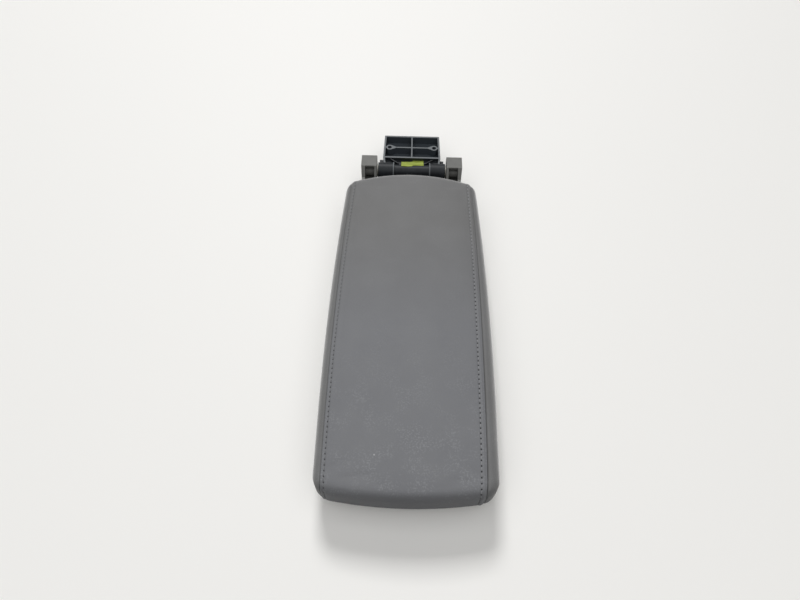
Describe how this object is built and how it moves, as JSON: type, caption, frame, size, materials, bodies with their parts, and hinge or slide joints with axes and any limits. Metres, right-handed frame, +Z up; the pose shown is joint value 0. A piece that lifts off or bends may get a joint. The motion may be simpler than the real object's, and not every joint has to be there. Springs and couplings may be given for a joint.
{
  "type": "car centre armrest",
  "caption": "Padded leather centre-console armrest lid with a moulded tray under it, a front latch and a spring-assisted hinge on a ribbed screw plate.",
  "frame": {"origin": "on the surface the armrest lies on, at the middle of its length and width", "axes": "+Y from the front nose to the hinge plate, +Z up out of the leather, +X to the right seen from the nose"},
  "size_m": [0.15, 0.4156, 0.054],
  "materials": {
    "leather": "grey grained leather, lightly worn",
    "foam": "moulded soft foam",
    "carrier_plastic": "moulded, plain",
    "grey_plastic": "moulded, fine grain",
    "black_plastic": "glass-filled, satin",
    "steel": "zinc plated",
    "bush_plastic": "natural acetal",
    "rubber": "soft",
    "tape": "yellow-green paper strip"
  },
  "bodies": {
    "base": {"hinge_base": "black_plastic", "hinge_bush_left": "bush_plastic", "hinge_bush_right": "bush_plastic", "hinge_spring_left": "steel", "hinge_spring_right": "steel", "marking_tape": "tape"},
    "lid": {"cover_top_panel": "leather", "cover_left_panel": "leather", "cover_right_panel": "leather", "foam_pad": "foam", "pad_carrier": "carrier_plastic", "lower_shell": "grey_plastic", "shell_screws": "steel", "buffer_front_left": "rubber", "buffer_front_right": "rubber", "buffer_rear_left": "rubber", "buffer_rear_right": "rubber", "hinge_pin": "steel", "latch_pin": "steel", "latch_spring": "steel"},
    "latch": {"latch_lever": "grey_plastic"}
  },
  "joints": [
    {"name": "lid_hinge", "type": "hinge", "parent": "base", "child": "lid", "pos_m": [0, 0.15685, 0.0247], "axis": [1, 0, 0], "range_deg": [0, 90], "stiffness_Nm_per_rad": 0.5, "springref_deg": -85.94, "deforming": ["hinge_spring_left", "hinge_spring_right"]},
    {"name": "latch_turn", "type": "hinge", "parent": "lid", "child": "latch", "pos_m": [0, -0.17985, 0.0129], "axis": [-1, 0, 0], "range_deg": [0, 12], "stiffness_Nm_per_rad": 0.1, "springref_deg": -8.59, "deforming": ["latch_spring"]}
  ]
}
